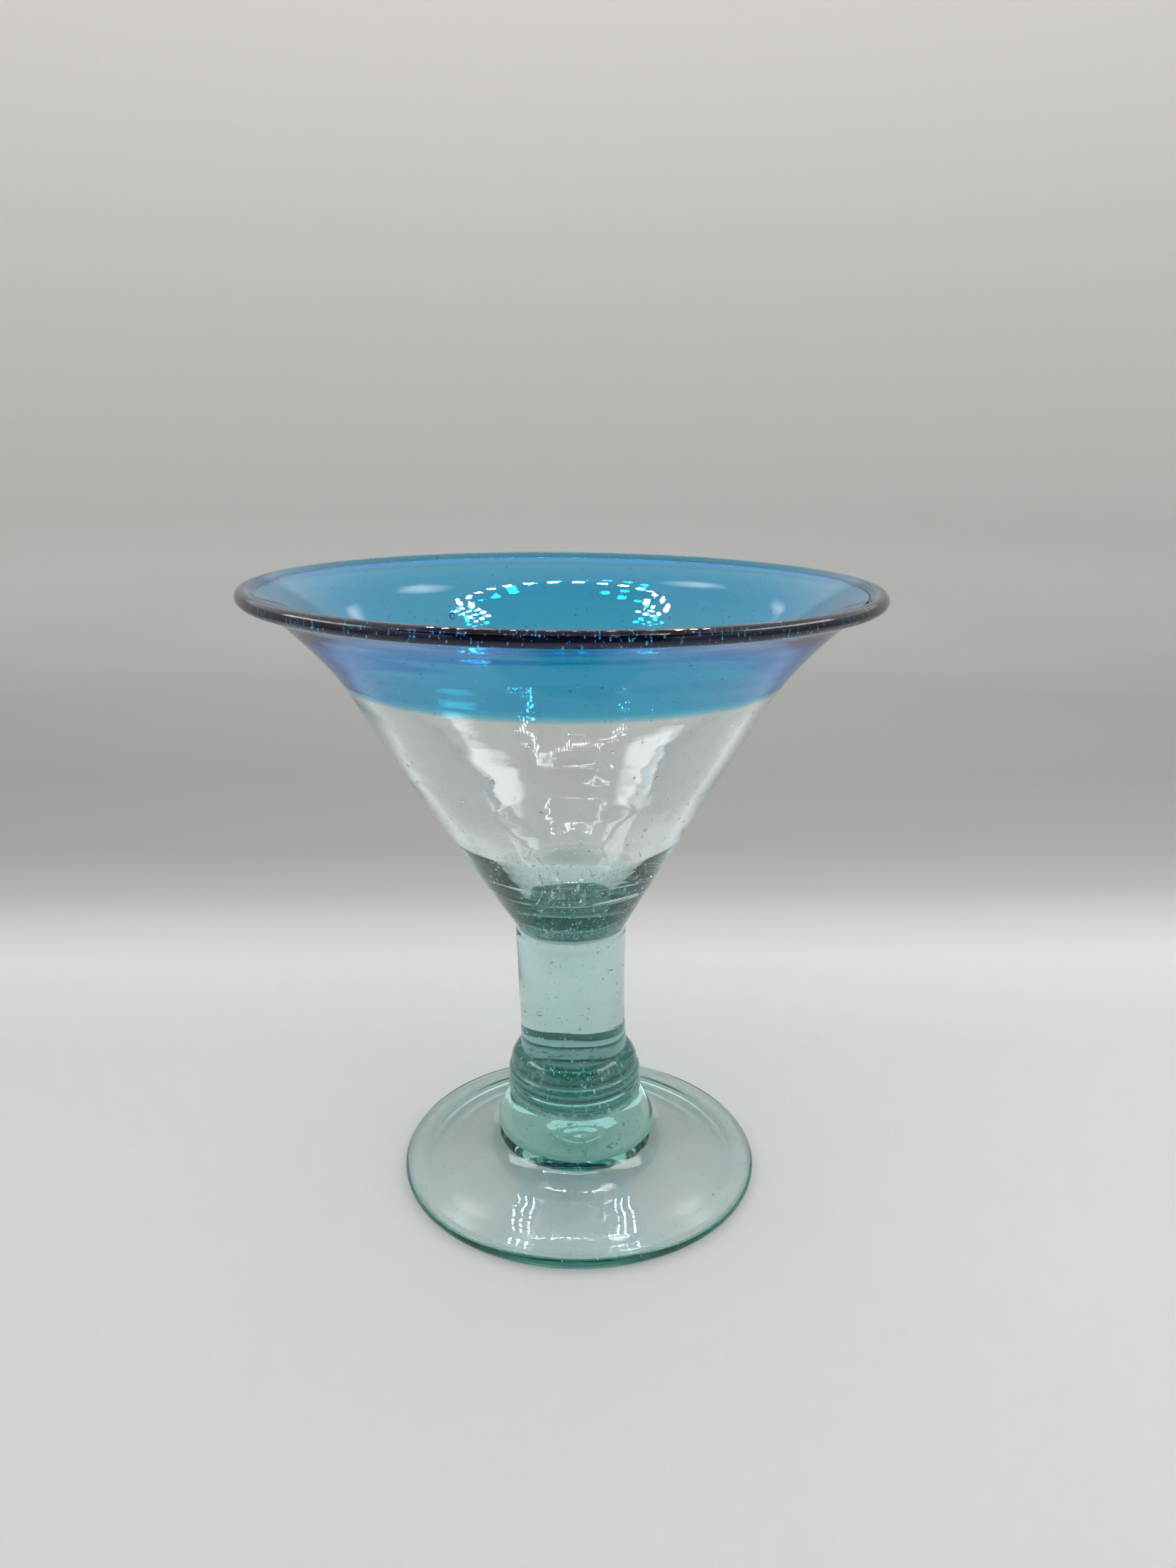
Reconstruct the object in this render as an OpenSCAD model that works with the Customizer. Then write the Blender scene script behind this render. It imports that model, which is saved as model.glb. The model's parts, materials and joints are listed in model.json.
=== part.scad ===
// Hand-blown margarita glass: a flared cone bowl with a coloured lip band,
// on a thick solid stem with a knop, a hub and a wide, shallow cone foot.
// Every piece is a gather of glass, fused face to face to its neighbours.
// The origin is the middle of the foot, on the table, and +Z is up.
// The glass leans: above the foot, each gather's middle lies a little further towards -X.

/* [Lip] */
// Diameter over the lip
rim_d = 152; // [146:1:160]
// Diameter of the round bead that finishes the lip
bead_d = 3.8; // [3.6:0.1:6]
// Angle of the wall above level, where it meets the bead
lip_angle = 25; // [18:1:34]

/* [Lean] */
// How far the middle of the lip stands to the side of the middle of the foot
lean = 5.1; // [0:0.1:6]

/* [Bowl] */
// Height of the bowl, from the top of the stem to the top of the lip
bowl_h = 88; // [82:1:98]
// Thickness of the bowl wall
wall = 3; // [2:0.1:3.4]
// Height of the flare, from the end of the cone to the top of the lip
flare_h = 21; // [18:0.5:25]
// Width of the flare, from the outside of the cone's end to the outside of the lip
flare_w = 21.8; // [18:0.2:25]
// Thickness of solid glass under the deepest point of the bowl
floor_t = 2.2; // [2:0.2:9]

/* [Colour band] */
// Height of straight cone that is coloured below the flare, to the middle of the colour's lower edge
band_drop = 0.4; // [0.4:0.2:12]
// Height over which the colour is drawn out to a feather edge through the wall
feather_h = 2.6; // [0:0.2:3.6]

/* [Stem] */
// Height of the stem, from the knop to the bowl
stem_h = 34.8; // [25:0.2:60]
// Diameter at the top of the stem, where the bowl sits
stem_top_d = 28.6; // [26:0.2:32]
// Diameter at the waist of the stem
stem_waist_d = 27.9; // [24:0.1:31]
// Diameter at the foot of the stem, where it stands in the knop
stem_foot_d = 28.2; // [25:0.2:31]

/* [Knop] */
// Height of the knop, the rounded collar below the stem
knop_h = 13.7; // [10:0.1:20]
// Largest diameter of the knop
knop_d = 35.6; // [34:0.2:40]
// Diameter of the crease between the knop and the hub
crease_d = 34.9; // [31:0.1:36]

/* [Hub] */
// Height of the hub, the wider disc of glass that joins the stem to the foot
hub_h = 10.2; // [7:0.1:15]
// Largest diameter of the hub
hub_d = 42; // [40:0.5:50]
// Diameter on which the hub is fused to the foot
hub_base_d = 39; // [35:0.5:40]

/* [Foot] */
// Diameter of the foot
foot_d = 95; // [84:1:110]
// Thickness of the rounded edge of the foot
foot_edge_h = 3; // [2:0.1:4.5]
// Height of the top of the foot, where the hub sits
foot_rise = 11.3; // [9.5:0.1:15]
// Thickness of the foot beneath the hub
foot_t = 3.6; // [2.5:0.1:4.5]
// Width of the flat ring that the glass rests on
rest_w = 3.4; // [1.5:0.1:6]

/* [Hidden] */
// Straight steps in each curve of an outline
steps = 12;
$fn = 96;

// Colours of the glass
clear_glass = [0.72, 0.84, 0.81, 0.6];
thick_glass = [0.30, 0.56, 0.50, 0.8];
turquoise = [0.10, 0.55, 0.72, 0.8];
dark_lip = [0.02, 0.14, 0.24, 0.95];

// Heights of the joints between the gathers
hub_z = foot_rise;
knop_z = hub_z + hub_h;
stem_z = knop_z + knop_h;
bowl_z = stem_z + stem_h;
top_z = bowl_z + bowl_h;

// Radii
rim_r = rim_d / 2;
bead_r = bead_d / 2;
foot_r = foot_d / 2;
hub_r = hub_d / 2;
hub_base_r = hub_base_d / 2;
knop_r = knop_d / 2;
crease_r = crease_d / 2;
stem_foot_r = stem_foot_d / 2;
stem_waist_r = stem_waist_d / 2;
stem_top_r = stem_top_d / 2;
cone_top_r = rim_r - flare_w;

// The bowl's straight cone, outside and inside
flare_z = top_z - flare_h;
cone_rise = (flare_z - bowl_z) / (cone_top_r - stem_top_r);
cone_tilt = atan(cone_rise);
function cone_out(z) = stem_top_r + (z - bowl_z) / cone_rise;
function cone_in(z) = cone_out(z) - wall / sin(cone_tilt);

// The bowl's floor is a ball of this radius, tangent to the inside cone and deepest at floor_z
floor_z = bowl_z + floor_t;
apex_z = bowl_z - cone_in(bowl_z) * cone_rise;
ball_z = (floor_z - apex_z * cos(cone_tilt)) / (1 - cos(cone_tilt));
ball_r = ball_z - floor_z;
gather_z = ball_z - ball_r * cos(cone_tilt);

// The lower edge of the colour, lower outside than inside
band_z = flare_z - band_drop;
band_out_z = band_z - feather_h / 2;
band_in_z = band_z + feather_h / 2;

// The bead, and the turn round it from the wall's middle to either face of the wall
bead_at = [rim_r - bead_r, top_z - bead_r];
chord_turn = asin(wall / 2 / bead_r);
function on_bead(angle) = bead_at + bead_r * [cos(angle), sin(angle)];
lip_out = on_bead(180 + lip_angle + chord_turn);

// The flare is a curve from the cone to the bead, drawn towards the point where their tangents cross
flare_from = [cone_top_r, flare_z];
cone_way = [cos(cone_tilt), sin(cone_tilt)];
lip_way = [cos(lip_angle), sin(lip_angle)];
flare_reach = cross(lip_out - flare_from, lip_way) / cross(cone_way, lip_way);
flare_corner = flare_from + flare_reach * cone_way;

// A point of a curve that leaves a towards c and arrives at b from c, and the way it runs there
function bend_at(a, c, b, t) = (1 - t) * (1 - t) * a + 2 * t * (1 - t) * c + t * t * b;
function bend_way(a, c, b, t) = (1 - t) * (c - a) + t * (b - c);
// The curve's points after a, up to and with b
function bend(a, c, b) = [for (i = [1:steps]) bend_at(a, c, b, i / steps)];
// The same curve's points moved sideways, to the left of the way it runs, from its start to its end
function bend_beside(a, c, b, gap) = [
    for (i = [0:steps])
        let (way = bend_way(a, c, b, i / steps))
        bend_at(a, c, b, i / steps) + gap * [-way[1], way[0]] / norm(way)
];
function backwards(points) = [for (i = [len(points) - 1:-1:0]) points[i]];

// How far up the knop its widest ring lies, and where its shoulder and flank turn
knop_widest_share = 0.33;
knop_shoulder_share = [0.978, 0.62];
knop_widest = [knop_r, knop_z + knop_widest_share * knop_h];
knop_shoulder = [knop_shoulder_share[0] * knop_r, knop_z + knop_shoulder_share[1] * knop_h];
knop_flank_share = [1.004, 0.12];
knop_flank = [knop_flank_share[0] * knop_r, knop_z + knop_flank_share[1] * knop_h];

// How far up the hub its widest ring lies, and where its shoulder turns
hub_widest_share = 0.18;
hub_shoulder_share = [0.948, 0.58];
hub_widest = [hub_r, hub_z + hub_widest_share * hub_h];
hub_shoulder = [hub_shoulder_share[0] * hub_r, hub_z + hub_shoulder_share[1] * hub_h];

// Where the foot's top sags, as shares of the foot's radius and of its rise above the edge
foot_sag_share = [0.62, 0.42];
// Where the hollow under the foot turns level, as a share of the foot's radius
hollow_turn_share = 0.5;
// Width of the foot's rounded edge, as a share of its thickness
edge_share = 0.5;

// How far the hub and the knop, which stand upright, are set to the side, as shares of the lean
hub_aside_share = 0.17;
knop_aside_share = 0.31;
// How far the glass has drifted at each joint above them, as a share of the lean
stem_drift_share = 0.36;
bowl_drift_share = 0.57;
wall_drift_share = 0.70;
drift = [
    [stem_z, -stem_drift_share * lean],
    [bowl_z, -bowl_drift_share * lean],
    [gather_z, -wall_drift_share * lean],
    [top_z, -lean]
];

// Number of equal sectors in which a leaning gather is turned
sectors = 8;
// The stem and the bowl's base are turned round a narrow hole, which an upright core fills
core_d = 4;
core_r = core_d / 2;
hole_share = 0.5;
hole_r = hole_share * core_r;

// A round, upright gather of glass, turned from its outline and set to the side by a share of the lean
module gather(outline, aside_share = 0) {
    translate([-aside_share * lean, 0, 0]) rotate_extrude() polygon(outline);
}

// An upright core between two heights, at the middle of the drift there
module core(low, high) {
    translate([lookup((low + high) / 2, drift), 0, low]) cylinder(h = high - low, r = core_r);
}

// A gather that drifts evenly from one height to the next, with every level section still round
module leaning_gather(outline, low, high) {
    slope = (lookup(high, drift) - lookup(low, drift)) / (high - low);
    start = lookup(low, drift) - slope * low;
    multmatrix([[1, 0, slope, start], [0, 1, 0, 0], [0, 0, 1, 0]])
        for (i = [0:sectors - 1])
            rotate([0, 0, 360 / sectors * i])
                rotate_extrude(angle = 360 / sectors) polygon(outline);
}

// The foot: a shallow cone, hollow beneath, on a flat ring
module foot_disc() {
    edge_w = edge_share * foot_edge_h;
    edge_top = [foot_r - edge_w, foot_edge_h];
    hub_seat = [hub_base_r, hub_z];
    sag = [
        foot_sag_share[0] * foot_r,
        foot_edge_h + foot_sag_share[1] * (hub_z - foot_edge_h)
    ];
    rest_out = [foot_r - edge_w, 0];
    rest_in = [foot_r - edge_w - rest_w, 0];
    hollow_top = [0, hub_z - foot_t];
    hollow_turn = [hollow_turn_share * foot_r, hollow_top[1]];
    color(clear_glass) gather(concat(
        [hollow_top, [0, hub_z], hub_seat],
        bend(hub_seat, sag, edge_top),
        bend(edge_top, [foot_r, foot_edge_h], [foot_r, foot_edge_h / 2]),
        bend([foot_r, foot_edge_h / 2], [foot_r, 0], rest_out),
        [rest_in],
        [for (p = bend(rest_in, hollow_turn, hollow_top)) if (p[0] > 0) p]
    ));
}

// The hub: a wide rounded disc of glass between the foot and the knop
module foot_hub() {
    base = [hub_base_r, hub_z];
    color(thick_glass) gather(concat(
        [[0, hub_z], base],
        bend(base, [hub_r, hub_z], hub_widest),
        bend(hub_widest, hub_shoulder, [crease_r, knop_z]),
        [[0, knop_z]]
    ), hub_aside_share);
}

// The knop: the rounded collar in which the stem stands
module knop() {
    crease = [crease_r, knop_z];
    color(thick_glass) gather(concat(
        [[0, knop_z], crease],
        bend(crease, knop_flank, knop_widest),
        bend(knop_widest, knop_shoulder, [stem_foot_r, stem_z]),
        [[0, stem_z]]
    ), knop_aside_share);
}

// The stem: a solid pillar with a slight waist
module stem() {
    foot = [stem_foot_r, stem_z];
    top = [stem_top_r, bowl_z];
    waist = [2 * stem_waist_r - (stem_foot_r + stem_top_r) / 2, stem_z + stem_h / 2];
    color(clear_glass) {
        leaning_gather(concat(
            [[hole_r, stem_z], foot],
            bend(foot, waist, top),
            [[hole_r, bowl_z]]
        ), stem_z, bowl_z);
        core(stem_z, bowl_z);
    }
}

// The bowl's base: solid glass that closes round under the bowl
module bowl_base() {
    first_turn = asin(hole_r / ball_r);
    color(thick_glass) {
        leaning_gather(concat(
            [[hole_r, bowl_z], [stem_top_r, bowl_z], [cone_out(gather_z), gather_z]],
            [
                for (i = [steps:-1:0])
                    let (turn = first_turn + (cone_tilt - first_turn) * i / steps)
                    [ball_r * sin(turn), ball_z - ball_r * cos(turn)]
            ]
        ), bowl_z, gather_z);
        core(bowl_z, ball_z - ball_r * cos(first_turn));
    }
}

// The bowl's wall: the clear cone between the base and the coloured band
module bowl_wall() {
    color(clear_glass) leaning_gather([
        [cone_out(gather_z), gather_z],
        [cone_out(band_out_z), band_out_z],
        [cone_in(band_in_z), band_in_z],
        [cone_in(gather_z), gather_z]
    ], gather_z, top_z);
}

// The coloured band: the top of the cone and the flare, as far as the bead
module colour_band() {
    color(turquoise) leaning_gather(concat(
        [[cone_out(band_out_z), band_out_z], flare_from],
        bend(flare_from, flare_corner, lip_out),
        backwards(bend_beside(flare_from, flare_corner, lip_out, wall)),
        [[cone_in(band_in_z), band_in_z]]
    ), gather_z, top_z);
}

// The bead: the thick, fire-rounded lip
module rim_bead() {
    first = 180 + lip_angle + chord_turn;
    last = 540 + lip_angle - chord_turn;
    color(dark_lip) leaning_gather([
        for (i = [0:2 * steps]) on_bead(first + (last - first) * i / (2 * steps))
    ], gather_z, top_z);
}

foot_disc();
foot_hub();
knop();
stem();
bowl_base();
bowl_wall();
colour_band();
rim_bead();
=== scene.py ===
"""A hand-blown margarita glass on a pale sweep, built piece by piece on the frame of its solid model.

Every piece of glass is a closed surface turned round a leaning axis. Where two pieces are fused, each
has a joint face that lets light straight through, so that the pile of pieces looks like one pour of glass.
Lengths in the outlines are in millimetres, and Unit.MM turns them into metres.
"""

from __future__ import annotations

import json
import logging
import math
from dataclasses import dataclass, field
from enum import Enum
from functools import partial
from typing import Callable, Sequence

import bpy
import numpy as np
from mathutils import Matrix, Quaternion, Vector

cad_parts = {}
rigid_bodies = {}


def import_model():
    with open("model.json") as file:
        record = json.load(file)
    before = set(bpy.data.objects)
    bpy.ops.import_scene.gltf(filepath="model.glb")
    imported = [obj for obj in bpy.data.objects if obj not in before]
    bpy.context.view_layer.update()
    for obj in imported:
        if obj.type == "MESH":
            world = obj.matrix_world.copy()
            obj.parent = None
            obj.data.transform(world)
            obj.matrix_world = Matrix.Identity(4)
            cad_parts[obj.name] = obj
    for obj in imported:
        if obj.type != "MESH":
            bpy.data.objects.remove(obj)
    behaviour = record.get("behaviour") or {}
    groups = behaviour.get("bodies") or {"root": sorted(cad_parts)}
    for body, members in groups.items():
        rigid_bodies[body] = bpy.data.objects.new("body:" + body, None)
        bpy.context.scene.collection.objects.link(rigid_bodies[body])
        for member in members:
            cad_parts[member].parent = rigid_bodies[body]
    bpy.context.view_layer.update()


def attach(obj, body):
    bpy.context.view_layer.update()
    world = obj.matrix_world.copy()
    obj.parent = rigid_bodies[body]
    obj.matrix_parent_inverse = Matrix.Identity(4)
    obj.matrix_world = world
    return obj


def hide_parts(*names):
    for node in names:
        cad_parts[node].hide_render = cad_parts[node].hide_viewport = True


LOG = logging.getLogger("margarita_glass")
FULL_TURN = 2 * math.pi
TOUCH = 1e-6  # millimetres below which two points are one
SHARP_ANGLE = math.radians(28)

Point = tuple[float, float]
Spot = tuple[float, float, float]
Colour = tuple[float, float, float]
Places = tuple[np.ndarray, np.ndarray, np.ndarray]
Spread = Callable[[np.random.Generator, int], Places]


class Unit(float, Enum):
    """Factors that turn a length into metres."""

    MM = 0.001


class Slot(str, Enum):
    """Material slots of the record."""

    FOOT = "foot_glass"
    STEM = "stem_glass"
    BASE = "base_glass"
    WALL = "wall_glass"
    BAND = "band_glass"
    LIP = "lip_glass"


class Joint(Enum):
    """Kinds of face: skin of the glass, or a face fused to a neighbour."""

    SKIN = 0
    FUSED = 1


# Shape of the blown glass

# The middle of each level section stands this far towards +X at these heights, in millimetres
LEAN_HEIGHTS = np.array([0.0, 5.0, 12.0, 26.0, 40.0, 66.0, 90.0, 120.0, 158.0])
LEAN_SHIFTS = np.array([0.0, -0.1, -0.8, -1.5, -2.0, -2.75, -3.85, -4.9, -5.0])


def smooth_curve(xs: np.ndarray, ys: np.ndarray, at: np.ndarray) -> np.ndarray:
    """Value of a smooth curve through given points.

    Between two points it is the cubic whose ends have the mean slope of their two sides.

    Args:
        xs: Places of the points, rising.
        ys: Values at the points.
        at: Places where the curve is wanted.

    Returns:
        The curve's values at those places.
    """
    slopes = np.gradient(ys, xs)
    i = np.clip(np.searchsorted(xs, at) - 1, 0, len(xs) - 2)
    width = xs[i + 1] - xs[i]
    t = np.clip((at - xs[i]) / width, 0.0, 1.0)
    start = (1 + 2 * t) * (1 - t) ** 2 * ys[i] + t * (1 - t) ** 2 * width * slopes[i]
    end = t * t * (3 - 2 * t) * ys[i + 1] - t * t * (1 - t) * width * slopes[i + 1]
    return start + end


def leaning(theta: np.ndarray, radius: np.ndarray, height: np.ndarray) -> np.ndarray:
    """Places round the leaning axis: a level circle whose middle is moved by the lean at its height.

    Args:
        theta: Angles round the axis, in radians.
        radius: Radii in millimetres.
        height: Heights in millimetres.

    Returns:
        Points in millimetres, with a last axis of three.
    """
    shift = smooth_curve(LEAN_HEIGHTS, LEAN_SHIFTS, height)
    return np.stack([radius * np.cos(theta) + shift, radius * np.sin(theta), height], axis=-1)


@dataclass(frozen=True)
class Waves:
    """Soft unevenness of hand-made glass.

    The sum of a few cosines over the square root of their number, each of a whole number of turns round
    the axis and of a random wave length along the outline, so that the pattern closes on itself.

    Attributes:
        height: Height of the waves in millimetres.
        count: Number of cosines.
        turns: Largest number of waves round the axis.
        length: Shortest wave length along the outline, in millimetres; the longest is four times that.
    """

    height: float
    count: int
    turns: int
    length: float

    def at(self, theta: np.ndarray, along: np.ndarray, seed: int) -> np.ndarray:
        """How far the surface stands out.

        Args:
            theta: Angles round the axis, in radians.
            along: Distances along the outline, in millimetres, of the same shape.
            seed: Seed of the random choice.

        Returns:
            Values in millimetres, of the same shape.
        """
        random = np.random.default_rng(seed)
        total = np.zeros(np.broadcast(theta, along).shape)
        for _ in range(self.count):
            around = int(random.integers(0, self.turns + 1))
            rate = FULL_TURN / (self.length * random.uniform(1.0, 4.0))
            phase = random.uniform(0, FULL_TURN)
            total = total + np.cos(around * theta + rate * along * random.choice([-1, 1]) + phase)
        return self.height * (total / math.sqrt(self.count))


@dataclass(frozen=True)
class Blow:
    """How far the blown glass departs from a perfect turned shape.

    Attributes:
        slow: Slow unevenness of the radius.
        quick: Quicker ripples of the radius.
        seed: Seed of the outside; the ripples take the next one.
        inside_seed: Seed of the inside of the bowl, likewise.
        fade_radius: Radius in millimetres within which both fade towards the axis.
    """

    slow: Waves = Waves(height=0.12, count=9, turns=4, length=30.0)
    quick: Waves = Waves(height=0.010, count=24, turns=9, length=5.0)
    seed: int = 5
    inside_seed: int = 45
    fade_radius: float = 14.0

    def place(self, theta: np.ndarray, radius: np.ndarray, height: np.ndarray, side: float) -> np.ndarray:
        """Puts a ring on the leaning, uneven glass, its radius grown by the unevenness.

        Args:
            theta: Angles round the axis.
            radius: Radii in millimetres.
            height: Heights in millimetres.
            side: 1 on the outside and -1 on the inside of the bowl, so that each has ripples of its own.

        Returns:
            Points in millimetres, with a last axis of three.
        """
        fade = np.clip(radius / self.fade_radius, 0.0, 1.0) ** 2
        seed = self.seed if side > 0 else self.inside_seed
        slow = self.slow.at(theta, height + radius, seed)
        quick = self.quick.at(theta, height + radius, seed + 1)
        return leaning(theta, radius + fade * (slow + quick), height)


# Outlines

DISH = 0.035  # depth of a fused face in millimetres
WALL_RUNS = 4
LEVEL_RUNS = 8


def through(points: Sequence[Point], step: float) -> np.ndarray:
    """A smooth outline through a few points.

    The curve is followed by the length of its chords, and each of the two coordinates is a smooth
    curve of that length.

    Args:
        points: Points of the outline, as radius and height in millimetres.
        step: Distance between the points that come back, in millimetres.

    Returns:
        Points along the curve, with the first and last of those given.
    """
    p = np.asarray(points, float)
    length = np.concatenate([[0.0], np.cumsum(np.linalg.norm(np.diff(p, axis=0), axis=1))])
    at = np.linspace(0.0, length[-1], max(2, math.ceil(length[-1] / step) + 1))
    return np.stack([smooth_curve(length, p[:, 0], at), smooth_curve(length, p[:, 1], at)], axis=1)


def joint_face(start: Point, end: Point, runs: int) -> np.ndarray:
    """Outline of a fused face, dished a little into its own piece.

    It departs from the straight line by the dish times four t times one minus t, at right angles and
    to the left of the way it runs.

    Args:
        start: First point, as radius and height in millimetres.
        end: Last point.
        runs: Number of runs.

    Returns:
        The points, with both ends.
    """
    a, b = np.asarray(start, float), np.asarray(end, float)
    t = np.linspace(0.0, 1.0, runs + 1)[:, None]
    way = (b - a) / np.linalg.norm(b - a)
    left = np.array([-way[1], way[0]])
    return a + (b - a) * t + left * DISH * 4 * t * (1 - t)


@dataclass
class Outline:
    """The outline of a turned piece, run anticlockwise with the axis on its left.

    Attributes:
        runs: Point runs that follow one another, each starting where the last one ended.
        kinds: Kind of face of each run.
        sides: 1 where a run is on the outside, -1 where it is on the inside of the bowl.
    """

    runs: list[np.ndarray] = field(default_factory=list)
    kinds: list[Joint] = field(default_factory=list)
    sides: list[float] = field(default_factory=list)

    def add(self, run: np.ndarray, kind: Joint = Joint.SKIN, side: float = 1.0) -> Outline:
        """Adds a run.

        Args:
            run: Its points.
            kind: Kind of face.
            side: 1 for the outside, -1 for the inside of the bowl.

        Returns:
            The outline itself, so that calls can be chained.
        """
        self.runs.append(run)
        self.kinds.append(kind)
        self.sides.append(side)
        return self

    def fuse(self, start: Point, end: Point) -> Outline:
        """Adds a joint across the wall of the bowl, from one of its faces to the other.

        Args:
            start: Where it starts, as radius and height in millimetres.
            end: Where it ends.

        Returns:
            The outline itself.
        """
        return self.add(joint_face(start, end, WALL_RUNS), Joint.FUSED)

    def fuse_under(self, seat: Point) -> Outline:
        """Adds the level joint under a piece, from the axis out.

        Args:
            seat: Its rim, as radius and height in millimetres.

        Returns:
            The outline itself.
        """
        return self.add(joint_face((0.0, seat[1]), seat, LEVEL_RUNS), Joint.FUSED)

    def fuse_over(self, seat: Point) -> Outline:
        """Adds the level joint on top of a piece, in to the axis.

        Args:
            seat: Its rim, as radius and height in millimetres.

        Returns:
            The outline itself.
        """
        return self.add(joint_face(seat, (0.0, seat[1]), LEVEL_RUNS), Joint.FUSED)

    def points(self) -> tuple[np.ndarray, np.ndarray, np.ndarray]:
        """Joins the runs.

        Returns:
            The points, the kind of the run that leaves each point, and the side of each point.
        """
        points = np.concatenate([run[:-1] for run in self.runs])
        kinds = np.concatenate([np.full(len(run) - 1, k.value) for run, k in zip(self.runs, self.kinds)])
        sides = np.concatenate([np.full(len(run) - 1, s) for run, s in zip(self.runs, self.sides)])
        if np.linalg.norm(self.runs[-1][-1] - self.runs[0][0]) > TOUCH:
            points = np.concatenate([points, self.runs[-1][-1:]])
            sides = np.append(sides, sides[-1])
        return points, kinds, sides


# Meshes


def mesh_from(name: str, points: np.ndarray, loops: np.ndarray, sizes: np.ndarray) -> bpy.types.Mesh:
    """Makes a mesh from arrays.

    Args:
        name: Name of the mesh.
        points: Vertices in metres.
        loops: Vertex numbers of all faces, one face after the other.
        sizes: Number of corners of each face.

    Returns:
        The mesh, smooth shaded and with its edges made.
    """
    mesh = bpy.data.meshes.new(name)
    mesh.vertices.add(len(points))
    mesh.vertices.foreach_set("co", np.ascontiguousarray(points, np.float32).ravel())
    mesh.loops.add(len(loops))
    mesh.loops.foreach_set("vertex_index", loops.astype(np.int32))
    starts = np.concatenate([[0], np.cumsum(sizes)[:-1]])
    mesh.polygons.add(len(sizes))
    mesh.polygons.foreach_set("loop_start", starts.astype(np.int32))
    mesh.update(calc_edges=True)
    mesh.validate()
    mesh.shade_smooth()
    return mesh


def mark(mesh: bpy.types.Mesh, name: str, domain: str, values: np.ndarray) -> None:
    """Stores a number for each point or face of a mesh.

    Args:
        mesh: The mesh.
        name: Name of the attribute.
        domain: POINT or FACE.
        values: The numbers.
    """
    mesh.attributes.new(name, "FLOAT", domain).data.foreach_set("value", values.astype(np.float32))


def turned_mesh(name: str, outline: Outline, blow: Blow, around: int) -> bpy.types.Mesh:
    """Turns an outline round the leaning axis.

    Angle i of a ring is the vertex at the ring's start plus i. A point on the axis is one vertex.

    Args:
        name: Name of the mesh.
        outline: The outline, anticlockwise with the axis on its left.
        blow: Unevenness of the glass.
        around: Number of angles.

    Returns:
        A closed mesh with outward faces and a face attribute that is 1 on fused faces.
    """
    points, kinds, sides = outline.points()
    theta = np.linspace(0.0, FULL_TURN, around, endpoint=False)
    on_axis = points[:, 0] < TOUCH
    rings, starts = [], [0]
    for (radius, height), pole, side in zip(points, on_axis, sides):
        angles = theta[:1] if pole else theta
        ring = blow.place(angles, np.full(len(angles), radius), np.full(len(angles), height), side)
        rings.append(ring)
        starts.append(starts[-1] + len(ring))
    i = np.arange(around)
    k = (i + 1) % around
    loops, sizes, fused = [], [], []
    for j, kind in enumerate(kinds):
        n = (j + 1) % len(points)
        a, b = starts[j], starts[n]
        if on_axis[j] and on_axis[n]:
            continue
        if on_axis[j]:
            faces = np.stack([b + k, b + i, np.full(around, a)], axis=1)
        elif on_axis[n]:
            faces = np.stack([a + i, a + k, np.full(around, b)], axis=1)
        else:
            faces = np.stack([a + i, a + k, b + k, b + i], axis=1)
        loops.append(faces.ravel())
        sizes.append(np.full(around, faces.shape[1]))
        fused.append(np.full(around, float(kind)))
    mesh = mesh_from(name, np.concatenate(rings) * Unit.MM, np.concatenate(loops), np.concatenate(sizes))
    mark(mesh, "fused", "FACE", np.concatenate(fused))
    mesh.set_sharp_from_angle(angle=SHARP_ANGLE)
    return mesh


def outward(mesh: bpy.types.Mesh) -> float:
    """Volume of a closed mesh in cubic metres, positive when its faces look outwards.

    The sum over its triangles of the corner vectors' triple product, divided by six.

    Args:
        mesh: The mesh.

    Returns:
        The signed volume.
    """
    mesh.calc_loop_triangles()
    corners = np.zeros(len(mesh.loop_triangles) * 3, np.int32)
    mesh.loop_triangles.foreach_get("vertices", corners)
    points = np.zeros(len(mesh.vertices) * 3, np.float32)
    mesh.vertices.foreach_get("co", points)
    tri = points.reshape(-1, 3)[corners.reshape(-1, 3)].astype(float)
    return float(np.einsum("ij,ij->i", tri[:, 0], np.cross(tri[:, 1], tri[:, 2])).sum() / 6)


def place_object(name: str, mesh: bpy.types.Mesh, material: bpy.types.Material) -> bpy.types.Object:
    """Puts a mesh into the scene.

    Args:
        name: Name of the object.
        mesh: The mesh.
        material: Its material.

    Returns:
        The object.
    """
    made = bpy.data.objects.new(name, mesh)
    bpy.context.scene.collection.objects.link(made)
    mesh.materials.append(material)
    return made


# Finishes


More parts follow.
